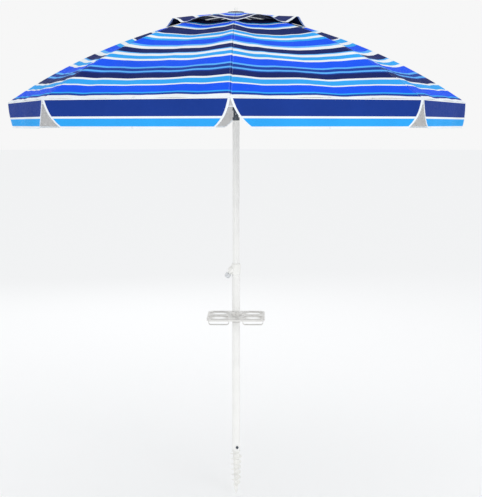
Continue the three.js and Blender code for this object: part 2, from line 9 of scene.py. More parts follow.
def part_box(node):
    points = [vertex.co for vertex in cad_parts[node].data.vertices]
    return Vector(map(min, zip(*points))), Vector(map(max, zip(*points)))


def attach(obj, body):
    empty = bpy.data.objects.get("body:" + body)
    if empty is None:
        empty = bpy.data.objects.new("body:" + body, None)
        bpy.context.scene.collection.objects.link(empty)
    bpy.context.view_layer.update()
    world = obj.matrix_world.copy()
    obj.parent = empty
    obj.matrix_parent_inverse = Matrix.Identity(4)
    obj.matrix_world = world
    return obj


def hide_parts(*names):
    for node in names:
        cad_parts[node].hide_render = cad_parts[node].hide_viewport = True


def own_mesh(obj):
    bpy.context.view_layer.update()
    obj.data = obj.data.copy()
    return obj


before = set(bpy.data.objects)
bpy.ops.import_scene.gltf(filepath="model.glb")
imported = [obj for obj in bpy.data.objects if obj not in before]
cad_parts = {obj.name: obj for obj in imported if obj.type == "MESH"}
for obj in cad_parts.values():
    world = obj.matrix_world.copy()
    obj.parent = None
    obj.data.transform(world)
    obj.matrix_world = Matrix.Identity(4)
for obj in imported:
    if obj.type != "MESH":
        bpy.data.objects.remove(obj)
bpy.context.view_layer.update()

# -------- sizes, the same as the frame's
RIBS = 8
SECTOR = 2 * math.pi / RIBS
HALF = SECTOR / 2
CANOPY_R = 0.915  # pole axis to a corner of the canopy
RIM_Z = 1.582
CROWN_SLOPE = math.radians(9)  # the ribs' slope at the crown and at the rim
RIM_SLOPE = math.radians(34.5)
PIVOT_R = 0.024  # pole axis to the pivots of the crown and of the runner
PANEL_SAG = 0.018  # how far a panel's middle hangs below the line of the ribs
SAG_START = 0.060  # where that begins
VENT_R = 0.200  # the hole under the vent cap
CAP_R = 0.280
CROWN_FLAT = 0.033  # the cap lies flat on the crown out to here
CAP_LIFT = 0.030  # how far it stands up between the ribs
CAP_RISE = 0.0022  # from the canopy's line to the cap's
CAP_HOLE = 0.013  # its hole for the finial's stem
CAP_FULLNESS = 1.04  # extra cloth for its billows
VALANCE = 0.101
CLOTH = 0.0006  # thickness of the cloth
ROD_R = 0.0025
ROD_DROP = (0.0095, 0.0050)  # from the cloth down to a rib's centreline, at crown and tip
CLIP_ALONG = 0.440  # along a rib, from the crown's pivot to its clip
CLIP_DROP = 0.008
POLE_R = 0.014
LOWER_R = 0.016
WALL = 0.0012
KNOB_DIP = math.radians(55)  # how far the knob's screw points down
BOSS = Vector((-0.018, 0, 0.911))  # the middle of the collar's boss
CLAMP_TOP = 0.018  # the block that grips the pole, above and below the tray's top
CLAMP_LOW = -0.027
CLAMP_HALF = 0.014
TRAY_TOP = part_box("tray_half_left")[1].z - CLAMP_TOP
TRAY_EDGE = 0.0095  # height of its skirt
TRAY_HALF = (0.115, 0.097)
CUP_AT = (0.068, 0.050)
CUP_R = 0.038
AUGER_TURNS = 7
AUGER_Z = (0.025, 0.173)
AUGER_R = (0.017, 0.024)

CLOTH_INSET = 0.0005  # the cloth ends this far inside the outer face of its tape
TAPE_LIFT = 0.0007  # half of a tape's thickness
TAPE_WIDTH = 0.0075
RIM_CHORD = 2 * CANOPY_R * math.sin(HALF)
# how far a flap draws back from its corner on the way down, as a straight part and a curved one
FLAP_CUT = {-1: (0.022, 0.036), 1: (0.036, 0.042)}

BORE_GAP = 0.0003  # between the lower tube and what goes round it
SPLIT = 0.00015  # half of the gap between the tray's halves
TRAY_CORNER = 0.022
TRAY_WALL = 0.0024
HUB_R = 0.022
CLAMP_BACK, CLAMP_FRONT = -0.011, -0.034
SCREW_AT = (-0.027, -0.0095)  # the tray's screw: along Y, and down from the tray's top
COLLAR_Z = (0.893, 0.937)
COLLAR_STEP = 0.9253  # its bore is wide for the lower tube up to here
CORE_Z = (0.020, 0.170)
CORE_R = (0.007, 0.0125)  # the sand anchor's core at these heights
PLUG_TOP = 0.236  # the end of the anchor inside the tube

# -------- the canopy's line
ARC_R = (CANOPY_R - PIVOT_R) / (math.sin(RIM_SLOPE) - math.sin(CROWN_SLOPE))
ARC_X = CANOPY_R - ARC_R * math.sin(RIM_SLOPE)
ARC_Z = RIM_Z - ARC_R * math.cos(RIM_SLOPE)


def lerp(a, b, t):
    return a + (b - a) * t


def slope_at(r):
    return math.asin((r - ARC_X) / ARC_R)


def cloth_z(r):
    return ARC_Z + ARC_R * math.cos(slope_at(r))


def cloth_length(inner, outer, steps=60):
    """The length of cloth along a rib between two rings."""
    step = (outer - inner) / steps
    return sum(step / math.cos(slope_at(max(PIVOT_R, inner + step * (i + 0.5)))) for i in range(steps))


def gore_area(inner, outer, steps=60):
    """The flat area of the cloth round one rib, between two rings."""
    area = 0
    for i in range(steps):
        a, b = lerp(inner, outer, i / steps), lerp(inner, outer, (i + 1) / steps)
        area += 2 * math.sin(HALF) * math.cos(HALF) * (a + b) / 2 * cloth_length(a, b, 1)
    return area


def rib_point(share):
    """A rib's centreline, in its own upright plane, from the crown (0) to the tip (1)."""
    drop = lerp(*ROD_DROP, share)
    start = PIVOT_R + ROD_DROP[0] * math.sin(slope_at(PIVOT_R))
    slope = lerp(slope_at(start), slope_at(CANOPY_R - 0.004), share)
    r = ARC_X + ARC_R * math.sin(slope)
    return Vector((r - drop * math.sin(slope), 0, cloth_z(r) - drop * math.cos(slope)))


RIB_LENGTH = (rib_point(0.5) - rib_point(0)).length + (rib_point(1) - rib_point(0.5)).length
CROWN_PIVOT = rib_point(0)
CLIP_MIDDLE = rib_point(CLIP_ALONG / RIB_LENGTH)
CLIP_SLOPE = slope_at(CLIP_MIDDLE.x)
CLIP_PIVOT = CLIP_MIDDLE - CLIP_DROP * Vector((math.sin(CLIP_SLOPE), 0, math.cos(CLIP_SLOPE)))
RUNNER_Z = 2 * CLIP_PIVOT.z - CROWN_PIVOT.z
RUNNER_PIVOT = Vector((PIVOT_R, 0, RUNNER_Z))
UPPER_TUBE_TOP = CROWN_PIVOT.z - 0.008
CROWN_TOP = cloth_z(PIVOT_R) + CAP_RISE - 0.0017


def azimuth(k):
    """The direction of rib k, from 1 to 8: rib 1 points to the front."""
    return -math.pi / 2 + (k - 1) * SECTOR


def turn(k):
    return Matrix.Rotation(azimuth(k), 4, "Z")


# -------- mesh helpers
def add_object(name, data):
    made = bpy.data.objects.new(name, data)
    bpy.context.scene.collection.objects.link(made)
    return made


def new_object(name, vertices, faces):
    mesh = bpy.data.meshes.new(name)
    mesh.from_pydata([tuple(v) for v in vertices], [], faces)
    mesh.validate()
    mesh.polygons.foreach_set("use_smooth", [True] * len(mesh.polygons))
    return add_object(name, mesh)


def grid(rows, columns, at, round_rows=False, round_columns=False):
    """Vertices and faces of a grid: at(i, j) gives a point for shares i and j from 0 to 1."""
    high = rows if round_rows else rows + 1
    wide = columns if round_columns else columns + 1
    vertices = [at(i / rows, j / columns) for i in range(high) for j in range(wide)]
    faces = []
    for i in range(rows):
        for j in range(columns):
            a, b = i * wide, ((i + 1) % high) * wide
            c = (j + 1) % wide
            faces.append((a + j, a + c, b + c, b + j))
    return vertices, faces


def fillet(profile, radius, steps=4, closed=True):
    """A profile whose corners are rounded by short arcs, each at most radius wide."""
    points = [Vector((p[0], p[1])) for p in profile]
    found = []
    count = len(points)
    for i, p in enumerate(points):
        if not closed and i in (0, count - 1):
            found.append(p)
            continue
        before, after = points[i - 1], points[(i + 1) % count]
        a, b = before - p, after - p
        if a.length < 1e-9 or b.length < 1e-9:
            found.append(p)
            continue
        reach = min(radius, 0.45 * a.length, 0.45 * b.length)
        start, end = p + a.normalized() * reach, p + b.normalized() * reach
        for s in range(steps + 1):
            t = s / steps
            found.append(start.lerp(p, t).lerp(p.lerp(end, t), t))
    return found


def lathe(name, profile, sides=96, radius=0.0008, closed=True, wave=None):
    """A profile of (radius, height) turned about Z: closed on itself, or with both ends on the axis."""
    points = fillet(profile, radius, closed=closed)
    rows = len(points) if closed else len(points) - 1

    def at(i, j):
        p = points[round(i * rows) % len(points)]
        angle = 2 * math.pi * j
        r = p.x * (wave(angle, p) if wave else 1)
        return (r * math.cos(angle), r * math.sin(angle), p.y)

    vertices, faces = grid(rows, sides, at, round_rows=closed, round_columns=True)
    return tidy(new_object(name, vertices, faces))


def tidy(piece):
    """Merges doubled vertices and turns all faces outwards."""
    bm = bmesh.new()
    bm.from_mesh(piece.data)
    bmesh.ops.remove_doubles(bm, verts=bm.verts, dist=1e-6)
    bmesh.ops.dissolve_degenerate(bm, edges=bm.edges, dist=1e-7)
    bmesh.ops.recalc_face_normals(bm, faces=bm.faces)
    bm.to_mesh(piece.data)
    bm.free()
    return piece


def sweep(name, path, section, up=Vector((0, 1, 0)), closed=False):
    """A section of (sideways, upwards) points carried along a path, with flat ends."""
    path = [Vector(p) for p in path]
    sides = len(section)
    vertices = []
    for i, p in enumerate(path):
        before = path[i - 1] if i or closed else p
        after = path[(i + 1) % len(path)] if i + 1 < len(path) or closed else p
        way = (after - before).normalized()
        side = up.cross(way).normalized()
        top = way.cross(side)
        vertices += [p + side * u + top * w for u, w in section]
    faces = []
    rows = len(path) if closed else len(path) - 1
    for i in range(rows):
        for j in range(sides):
            a, b = i * sides, ((i + 1) % len(path)) * sides
            c = (j + 1) % sides
            faces.append((a + j, a + c, b + c, b + j))
    if not closed:
        faces.append(tuple(range(sides))[::-1])
        faces.append(tuple((len(path) - 1) * sides + j for j in range(sides)))
    return tidy(new_object(name, vertices, faces))


def circle(r, sides=16, middle=(0, 0)):
    step = 2 * math.pi / sides
    return [(middle[0] + r * math.cos(step * i), middle[1] + r * math.sin(step * i)) for i in range(sides)]


def rod(name, start, end, r, sides=20, bevel=0.0004):
    """A round bar with softened ends, between two points."""
    start, end = Vector(start), Vector(end)
    length = (end - start).length
    piece = lathe(name, [(0, 0), (r, 0), (r, length), (0, length)], sides, bevel, closed=False)
    place = Matrix.Translation(start) @ (end - start).to_track_quat("Z", "Y").to_matrix().to_4x4()
    piece.data.transform(place)
    return piece


def block(name, low, high, bevel=0.0006, matrix=None):
    """A box with rounded edges."""
    bm = bmesh.new()
    bmesh.ops.create_cube(bm, size=1)
    for v in bm.verts:
        v.co = Vector([lerp(low[i], high[i], v.co[i] + 0.5) for i in range(3)])
    bmesh.ops.bevel(bm, geom=bm.edges[:], offset=bevel, segments=3, profile=0.5, affect="EDGES")
    mesh = bpy.data.meshes.new(name)
    bm.to_mesh(mesh)
    bm.free()
    if matrix is not None:
        mesh.transform(matrix)
    mesh.polygons.foreach_set("use_smooth", [True] * len(mesh.polygons))
    return add_object(name, mesh)


def extruded(name, outline, holes, low, high, bevel=0.0006):
    """A flat outline with holes, between two heights, with rounded edges."""
    curve = bpy.data.curves.new(name, "CURVE")
    curve.dimensions = "2D"
    curve.fill_mode = "BOTH"
    curve.extrude = (high - low) / 2 - bevel
    curve.bevel_depth = bevel
    curve.bevel_resolution = 2
    curve.offset = -bevel
    for loop in [outline, *holes]:
        spline = curve.splines.new("POLY")
        spline.points.add(len(loop) - 1)
        for point, (x, y) in zip(spline.points, loop):
            point.co = (x, y, 0, 1)
        spline.use_cyclic_u = True
    source = add_object(name, curve)
    bpy.context.view_layer.update()
    mesh = bpy.data.meshes.new_from_object(source.evaluated_get(bpy.context.evaluated_depsgraph_get()))
    bpy.data.objects.remove(source)
    mesh.transform(Matrix.Translation((0, 0, (low + high) / 2)))
    return tidy(add_object(name, mesh))


def joined(name, pieces):
    """Several meshes as one object; their material slots are kept."""
    bm = bmesh.new()
    slots = []
    for piece in pieces:
        first_face = len(bm.faces)
        bm.from_mesh(piece.data)
        bm.faces.ensure_lookup_table()
        used = list(piece.data.materials) or [None]
        for face in bm.faces[first_face:]:
            m = used[min(face.material_index, len(used) - 1)]
            if m not in slots:
                slots.append(m)
            face.material_index = slots.index(m)
    mesh = bpy.data.meshes.new(name)
    bm.to_mesh(mesh)
    bm.free()
    for m in slots:
        if m is not None:
            mesh.materials.append(m)
    for piece in pieces:
        bpy.data.objects.remove(piece)
    return add_object(name, mesh)


def settled(piece):
    """Applies a piece's modifiers."""
    bpy.context.view_layer.update()
    graph = bpy.context.evaluated_depsgraph_get()
    mesh = bpy.data.meshes.new_from_object(piece.evaluated_get(graph))
    piece.modifiers.clear()
    piece.data = mesh
    return piece


def boolean(piece, tools, operation):
    for tool in tools:
        modifier = piece.modifiers.new("boolean", "BOOLEAN")
        modifier.operation = operation
        modifier.solver = "EXACT"
        modifier.object = tool
    settled(piece)
    for tool in tools:
        bpy.data.objects.remove(tool)
    return piece


def cut(piece, *tools):
    return boolean(piece, tools, "DIFFERENCE")


def fused(piece, *tools):
    return boolean(piece, tools, "UNION")


def crisp(piece, angle=35):
    """Smooth shading that keeps the edges sharper than an angle in degrees."""
    limit = math.radians(angle)
    bm = bmesh.new()
    bm.from_mesh(piece.data)
    for edge in bm.edges:
        edge.smooth = len(edge.link_faces) == 2 and edge.calc_face_angle(math.pi) < limit
    for face in bm.faces:
        face.smooth = True
    bm.to_mesh(piece.data)
    bm.free()
    return piece


def softened(node, name, bevel):
    """A CAD piece's own shape with rounded edges."""
    piece = add_object(name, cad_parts[node].data.copy())
    bm = bmesh.new()
    bm.from_mesh(piece.data)
    bmesh.ops.remove_doubles(bm, verts=bm.verts, dist=2e-6)
    almost_flat = math.radians(2)
    bmesh.ops.dissolve_limit(bm, angle_limit=almost_flat, verts=bm.verts, edges=bm.edges)
    bm.to_mesh(piece.data)
    bm.free()
    modifier = piece.modifiers.new("bevel", "BEVEL")
    modifier.width = bevel
    modifier.segments = 2
    modifier.limit_method = "ANGLE"
    modifier.angle_limit = math.radians(35)
    modifier.use_clamp_overlap = True
    settled(piece)
    return crisp(piece, 40)


# -------- materials
def linear(red, green, blue):
    """A screen colour from 0 to 255 as linear light."""
    channels = []
    for value in (red, green, blue):
        c = value / 255
        channels.append(c / 12.92 if c <= 0.04045 else ((c + 0.055) / 1.055) ** 2.4)
    return (*channels, 1)


class Paint:
    """A material with a principled shader, and a short way to add nodes to it."""

    def __init__(self, name, **values):
        self.material = bpy.data.materials.new(name)
        self.material.use_nodes = True
        self.tree = self.material.node_tree
        self.shader = self.tree.nodes["Principled BSDF"]
        for key, value in values.items():
            self.shader.inputs[key.replace("_", " ")].default_value = value

    def node(self, kind, inputs=(), **settings):
        made = self.tree.nodes.new("ShaderNode" + kind)
        for key, value in settings.items():
            setattr(made, key, value)
        for key, value in dict(inputs).items():
            if isinstance(value, bpy.types.NodeSocket):
                self.tree.links.new(value, made.inputs[key])
            else:
                made.inputs[key].default_value = value
        return made

    def maths(self, operation, a, b=0.0):
        return self.node("Math", {0: a, 1: b}, operation=operation).outputs[0]

    def attribute(self, name):
        return self.node("Attribute", attribute_name=name)

    def place(self):
        return self.node("TexCoord").outputs["Object"]

    def noise(self, scale, detail=4.0, vector=None, roughness=0.5):
        inputs = {"Vector": vector or self.place(), "Scale": scale, "Detail": detail, "Roughness": roughness}
        return self.node("TexNoise", inputs).outputs["Fac"]

    def ramp(self, value, stops, smooth=True):
        made = self.node("ValToRGB", {"Fac": value})
        ramp = made.color_ramp
        ramp.interpolation = "LINEAR" if smooth else "CONSTANT"
        while len(ramp.elements) < len(stops):
            ramp.elements.new(1)
        for element, (at, colour) in zip(ramp.elements, sorted(stops, key=lambda s: s[0])):
            element.position = at
            element.color = colour
        return made.outputs["Color"]

    def range(self, value, low, high, to_low, to_high):
        inputs = {"Value": value, "From Min": low, "From Max": high, "To Min": to_low, "To Max": to_high}
        return self.node("MapRange", inputs).outputs["Result"]

    def mix(self, share, a, b, blend="MIX"):
        made = self.node("Mix", data_type="RGBA", blend_type=blend)
        for index, value in ((0, share), (6, a), (7, b)):
            if isinstance(value, bpy.types.NodeSocket):
                self.tree.links.new(value, made.inputs[index])
            else:
                made.inputs[index].default_value = value
        return made.outputs[2]

    def bump(self, height, strength, distance, after=None):
        inputs = {"Height": height, "Strength": strength, "Distance": distance}
        if after is not None:
            inputs["Normal"] = after
        return self.node("Bump", inputs).outputs["Normal"]

    def put(self, **sockets):
        for key, socket in sockets.items():
            self.tree.links.new(socket, self.shader.inputs[key.replace("_", " ")])
        return self.material


WHITE = linear(238, 243, 247)
NAVY = linear(10, 32, 100)
FLAP_NAVY = linear(26, 58, 142)
DEEP = linear(20, 62, 158)
ROYAL = linear(18, 86, 244)
SKY = linear(48, 166, 244)
LINE = linear(92, 178, 250)
SILVER = linear(214, 214, 214)

# Where each stripe ends, in millimetres from the axis to its ring's corner, and its colour.
# The first stripe, navy out to 258 mm, is painted shade: it stands in for the shade under the vent cap.
CANOPY_STRIPES = [
    (258, NAVY), (276, SKY), (282, WHITE), (317, ROYAL), (327, LINE), (345, WHITE), (411, NAVY),
    (421, WHITE), (448, SKY), (466, WHITE), (484, SKY), (532, ROYAL), (545, LINE), (568, WHITE),
    (605, NAVY), (612, LINE), (630, WHITE), (656, SKY), (671, WHITE), (718, ROYAL), (728, LINE),
    (746, DEEP), (757, LINE), (765, DEEP), (797, NAVY), (809, WHITE), (836, SKY), (846, WHITE),
    (884, ROYAL), (893, SKY), (902, DEEP), (930, WHITE),
]  # fmt: skip
CAP_STRIPES = [
    (66, NAVY), (82, WHITE), (114, SKY), (122, WHITE), (174, ROYAL), (181, LINE), (199, WHITE),
    (267, NAVY), (290, WHITE),
]  # fmt: skip
# The same for the valance, in millimetres below the canopy's rim.
VALANCE_STRIPES = [(4, WHITE), (60, FLAP_NAVY), (67, WHITE), (93, SKY), (110, WHITE)]


THREAD = 0.0011  # from one thread of the cloth to the next
STITCH = 0.0046  # from one stitch to the next
STITCH_ROW = 0.0048  # from the seam to the row of stitches on each side of it


def cloth(name, stripes=None, plain=None):
    """Woven polyester, striped by the attribute ring or plain, with threads along the attribute thread."""
    paint = Paint(name, Roughness=0.6, Sheen_Weight=0.02, Sheen_Roughness=0.45)
    paint.shader.inputs["Specular IOR Level"].default_value = 0.08
    ring = paint.attribute("ring").outputs["Fac"]
    if stripes:
        highest = stripes[-1][0] / 1000
        share = paint.maths("DIVIDE", ring, highest)
        starts = [0.0] + [edge / 1000 for edge, _ in stripes[:-1]]
        stops = [(start / highest, colour) for start, (_, colour) in zip(starts, stripes)]
        colour = paint.ramp(share, stops, smooth=False)
    else:
        colour = plain
    # broad, faint unevenness of the dye, and painted shade in the hollows between the threads
    cloudy = paint.range(paint.noise(7.0, 3.0), 0.3, 0.7, 0.93, 1.04)
    thread = paint.node("SeparateXYZ", {0: paint.attribute("thread").outputs["Vector"]})

    def wave(direction, pitch):
        return paint.maths("SINE", paint.maths("MULTIPLY", thread.outputs[direction], 2 * math.pi / pitch))

    weave = paint.maths("MULTIPLY", wave(0, THREAD), wave(1, THREAD))
    # the seam over the rib, where the panels meet, with a row of stitches on each side of it
    from_seam = paint.maths("ABSOLUTE", thread.outputs[0])
    seam = paint.range(from_seam, 0.0006, 0.0022, 0.6, 1.0)
    from_row = paint.maths("ABSOLUTE", paint.maths("SUBTRACT", from_seam, STITCH_ROW))
    in_row = paint.maths("LESS_THAN", from_row, 0.0004)
    stitch = paint.maths("MULTIPLY", in_row, paint.maths("GREATER_THAN", wave(1, STITCH), -0.3))
    shade = paint.maths("MULTIPLY", cloudy, paint.range(weave, -1.0, 1.0, 0.965, 1.015))
    shade = paint.maths("MULTIPLY", shade, seam)
    grey = paint.node("CombineColor", {0: shade, 1: shade, 2: shade}).outputs[0]
    base = paint.mix(1.0, colour, grey, "MULTIPLY")
    base = paint.mix(paint.maths("MULTIPLY", stitch, 0.45), base, linear(206, 220, 236))
    wrinkle = paint.bump(paint.noise(26.0, 3.0), 0.12, 0.004)
    raised = paint.bump(paint.maths("ADD", seam, stitch), 0.25, 0.0006, wrinkle)
    normal = paint.bump(weave, 0.16, 0.0003, raised)
    rough = paint.range(paint.noise(60.0, 2.0), 0.3, 0.7, 0.74, 0.86)
    return paint.put(Base_Color=base, Normal=normal, Roughness=rough)


def darker(colour, share):
    return tuple(c * share for c in colour[:3]) + (1,)


def plastic(name, colour, rough):
    """Moulded plastic: an even colour with faint flow marks, a fine grain and a few soft scuffs."""
    paint = Paint(name, Coat_Weight=0.08, Coat_Roughness=0.25)
    dark = darker(colour, 0.93)
    tone = paint.ramp(paint.noise(18.0, 5.0), [(0.3, dark), (0.62, colour)])
    scuffs = paint.noise(90.0, 6.0, roughness=0.7)
    roughness = paint.range(scuffs, 0.35, 0.75, rough - 0.06, rough + 0.14)
    normal = paint.bump(paint.noise(1400.0, 2.0), 0.12, 0.0006)
    return paint.put(Base_Color=tone, Roughness=roughness, Normal=normal)


def powder_coat(name, colour):
    """White powder coat over metal: a little orange peel and faint rubbing."""
    paint = Paint(name, Coat_Weight=0.35, Coat_Roughness=0.18)
    dark = darker(colour, 0.94)
    tone = paint.ramp(paint.noise(12.0, 4.0), [(0.32, dark), (0.6, colour)])
    roughness = paint.range(paint.noise(140.0, 5.0), 0.3, 0.7, 0.28, 0.42)
    normal = paint.bump(paint.noise(650.0, 2.0), 0.08, 0.0006)
    return paint.put(Base_Color=tone, Roughness=roughness, Normal=normal)


def metal(name, colour, rough, brushed=0.0):
    """Plated or cast metal, with drawing marks along its length when brushed."""
    paint = Paint(name, Metallic=1.0)
    dark = darker(colour, 0.72)
    along = (1.0, 1.0, 1.0 - 0.9 * brushed)
    stretched = paint.node("Mapping", {"Vector": paint.place(), "Scale": along})
    marks = paint.noise(420.0, 3.0, stretched.outputs[0], 0.6)
    cloudy = paint.noise(55.0, 5.0)
    both = paint.maths("MULTIPLY", paint.maths("ADD", marks, cloudy), 0.5)
    tone = paint.ramp(both, [(0.3, dark), (0.6, colour)])
    roughness = paint.range(cloudy, 0.3, 0.7, rough - 0.07, rough + 0.12)
    normal = paint.bump(marks, 0.1, 0.0003)
    return paint.put(Base_Color=tone, Roughness=roughness, Normal=normal)


canopy_cloth = cloth("canopy_cloth", CANOPY_STRIPES)
cap_cloth = cloth("cap_cloth", CAP_STRIPES)
valance_cloth = cloth("valance_cloth", VALANCE_STRIPES)
lining = cloth("silver_lining", plain=SILVER)
# painted shadow: a dark navy for the cap's underside and the hem round the vent, standing in for the shade
# under the vent cap
painted_vent_shadow = cloth("painted_vent_shadow", plain=linear(16, 24, 52))
binding = cloth("white_binding", plain=linear(236, 242, 248))
pole_paint = powder_coat("pole_paint", linear(243, 243, 241))
white_plastic = plastic("white_plastic", linear(243, 243, 240), 0.34)
tray_plastic = plastic("tray_plastic", linear(226, 225, 222), 0.42)
grey_plastic = plastic("grey_plastic", linear(214, 217, 220), 0.46)
zinc = metal("zinc_plate", linear(196, 200, 205), 0.3, 0.9)
dark_metal = metal("dark_metal", linear(92, 98, 106), 0.38)


def finish(piece, material, slot, body, *nodes):
    """Gives a piece its material and its body, and hides the CAD nodes that it stands for; slot is not used.
    """
    if material is not None:
        piece.data.materials.clear()
        piece.data.materials.append(material)
    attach(piece, body)
    if nodes:
        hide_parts(*nodes)
    return piece


def keep_shape(node, name, material, slot, body, bevel):
    """Stands in for a CAD node with its own shape, only with rounded edges."""
    finish(softened(node, name, bevel), material, slot, body, node)


# -------- camera, light and floor
def make_camera():
    """At the height of the canopy and a little to the right, as in the photograph."""
    distance, height = 4.285, 1.496
    around, pitch, yaw = math.radians(1.169), math.radians(2.656), math.radians(-0.265)
    data = bpy.data.cameras.new("camera")
    data.lens = 77.62
    data.sensor_width = 36
    data.shift_y = -0.15
    data.clip_end = 200
    camera = add_object("camera", data)
    camera.location = (distance * math.sin(around), -distance * math.cos(around), height)
    camera.rotation_euler = (math.pi / 2 - pitch, 0, around + yaw)
    bpy.context.scene.camera = camera


def area_light(name, place, aim, size, power):
    data = bpy.data.lights.new(name, "AREA")
    data.shape = "DISK"
    data.size = size
    data.energy = power
    lamp = add_object(name, data)
    lamp.location = place
    lamp.rotation_euler = (Vector(aim) - Vector(place)).to_track_quat("-Z", "Y").to_euler()


def make_studio():
    world = bpy.data.worlds.new("studio")
    world.use_nodes = True
    background = world.node_tree.nodes["Background"]
    background.inputs["Color"].default_value = (1, 1, 1, 1)
    background.inputs["Strength"].default_value = 0.93
    bpy.context.scene.world = world
    area_light("key", (2.8, -4.2, 3.4), aim=(0, 0, 1.4), size=2.4, power=38)
    area_light("fill", (-1.4, -4.6, 0.8), aim=(0, 0, 1.1), size=2.0, power=16)
    area_light("back", (-1.0, 4.6, 3.4), aim=(0, 0, 1.2), size=3.0, power=20)
    bpy.context.scene.view_settings.view_transform = "Standard"


def make_floor():
    reach = 60  # metres, far past the camera's view

    def at(i, j):
        return (reach * i * math.cos(2 * math.pi * j), reach * i * math.sin(2 * math.pi * j), 0)

    vertices, faces = grid(1, 64, at)
    floor = tidy(new_object("floor", vertices, faces))
    paint = Paint("pale_floor", Roughness=0.95, Base_Color=linear(249, 250, 251))
    paint.shader.inputs["Specular IOR Level"].default_value = 0.0
    floor.data.materials.append(paint.material)


# -------- cloth
def set_threads(piece, places):
    """Where each vertex lies across and along the cloth's threads, in metres."""
    thread = piece.data.attributes.new("thread", "FLOAT_VECTOR", "POINT")
    thread.data.foreach_set("vector", [c for place in places for c in (*place, 0.0)])


def cloth_piece(name, rows, columns, shape, outer, inner):
    """A thin cloth: shape(i, j) gives a point, its ring in metres and its place along the threads."""
    samples = [shape(i / rows, j / columns) for i in range(rows + 1) for j in range(columns + 1)]

    def at(i, j):
        return samples[round(i * rows) * (columns + 1) + round(j * columns)][0]

    vertices, faces = grid(rows, columns, at)
    piece = new_object(name, vertices, faces)
    ring = piece.data.attributes.new("ring", "FLOAT", "POINT")
    ring.data.foreach_set("value", [s[1] for s in samples])
    set_threads(piece, [s[2] for s in samples])
    piece.data.materials.append(outer)
    piece.data.materials.append(inner)
    return piece


def thicken(piece, outward):
    """Gives the cloth its thickness below the face that looks towards outward, with the lining inside."""
    middle = piece.data.polygons[len(piece.data.polygons) // 2]
    if middle.normal.dot(outward) < 0:
        piece.data.flip_normals()
    modifier = piece.modifiers.new("thickness", "SOLIDIFY")
    modifier.thickness = CLOTH
    modifier.offset = -1
    modifier.material_offset = 1
    modifier.material_offset_rim = 0
    return crisp(settled(piece), 40)


def panel_wrinkle(panel, u, r, t):
    """Faint slack in a panel: u runs across it, t is 0 at its ribs and 1 in its middle."""
    long_folds = noise.noise(Vector((panel * 5.1 + u * 11, r * 2.4, 0.3)))
    short_folds = noise.noise(Vector((panel * 3.7 + u * 26, r * 7.0, 4.1)))
    return (0.0045 * long_folds + 0.0012 * short_folds) * min(1, 3 * t)


def panel_of(k, across):
    """The panel on one side of rib k, from 0 to 7."""
    return k % RIBS if across > 0 else (k - 1) % RIBS


def stripe_shift(panel):
    """The panels are cut from long striped cloth, so their stripes miss each other a little at the seams."""
    return 0.018 * noise.noise(Vector((panel * 7.7, 1.3, 0.5)))


def octagon_point(r, across):
    """A point on an octagon beside a rib: r is its corner distance, across runs from -1 to 1."""
    t = abs(across)
    x = r * (1 - t * (1 - math.cos(HALF) ** 2))
    return x, math.copysign(r * t * math.cos(HALF) * math.sin(HALF), across)


def from_middle(r, across):
    """How far such a point lies to one side of the middle of its panel."""
    t = abs(across)
    return (t - 1 if across > 0 else 1 - t) * r * math.sin(HALF)


def canopy_point(k, r, across):
    """The canopy's outer face beside rib k, with its sag, and the puckers along its sunken seam."""
    x, y = octagon_point(r, across)
    t = abs(across)
    span = max(0.0, min(1, (r - SAG_START) / (CANOPY_R - SAG_START)))
    sag = PANEL_SAG * math.sin(math.pi * span) ** 0.8 * t * (2 - t)
    from_rib = t * r * math.sin(HALF)
    beside_seam = math.exp(-from_rib / 0.018) * min(1, from_rib / 0.006)
    pucker = 0.0005 * math.sin(2 * math.pi * r / 0.042) * beside_seam
    seam = 0.0014 * math.exp(-((from_rib / 0.005) ** 2))
    wrinkle = panel_wrinkle(panel_of(k, across), from_middle(r, across), r, t)
    return Vector((x, y, cloth_z(r) - sag + wrinkle + pucker - seam))


def spread(j):
    """Column shares from -1 to 1 that lie closer together beside the rib."""
    across = 2 * j - 1
    return math.copysign(abs(across) ** 1.35, across)


# a tape's rounded section, as shares of its width from its outer edge and of half its thickness
TAPE_SECTION = [
    (-0.06, -0.5), (-0.12, 0), (-0.06, 0.5), (0.2, 1), (0.9, 1), (1, 0.4), (1, -0.4), (0.9, -1), (0.2, -1),
]  # fmt: skip


def band(name, edge, inner, lift, steps, material):
    """A flat tape over the edge of a cloth: edge(s) and inner(s) give its sides, lift half its thickness."""
    corners = len(TAPE_SECTION)

    def at(i, s):
        a, b = edge(s), inner(s)
        ahead, back = edge(min(1, s + 0.01)), edge(max(0, s - 0.01))
        normal = (ahead - back).cross(b - a).normalized()
        along_width, height = TAPE_SECTION[round(i * corners) % corners]
        return a.lerp(b, along_width) + normal * lift * height

    vertices, faces = grid(corners, steps, at, round_rows=True)
    ends = [tuple(i * (steps + 1) + end for i in range(corners)) for end in (0, steps)]
    piece = tidy(new_object(name, vertices, faces + ends))
    set_threads(piece, [(v.co.x, v.co.y + v.co.z) for v in piece.data.vertices])
    piece.data.materials.append(material)
    return piece


def ring_line(surface, k, r):
    """The middle of the cloth along one ring of a gore, by the share of the way from side to side."""
    return lambda s: surface(k, r, 2 * s - 1) - Vector((0, 0, CLOTH / 2))


def fold_with_rib(piece):
    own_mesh(piece)


def stretch_gore(piece, rings, fullness=1):
    """Gives a gore its own mesh; the area of its cloth between two rings is worked out but not used."""
    area = gore_area(*rings) * fullness
    fold_with_rib(piece)


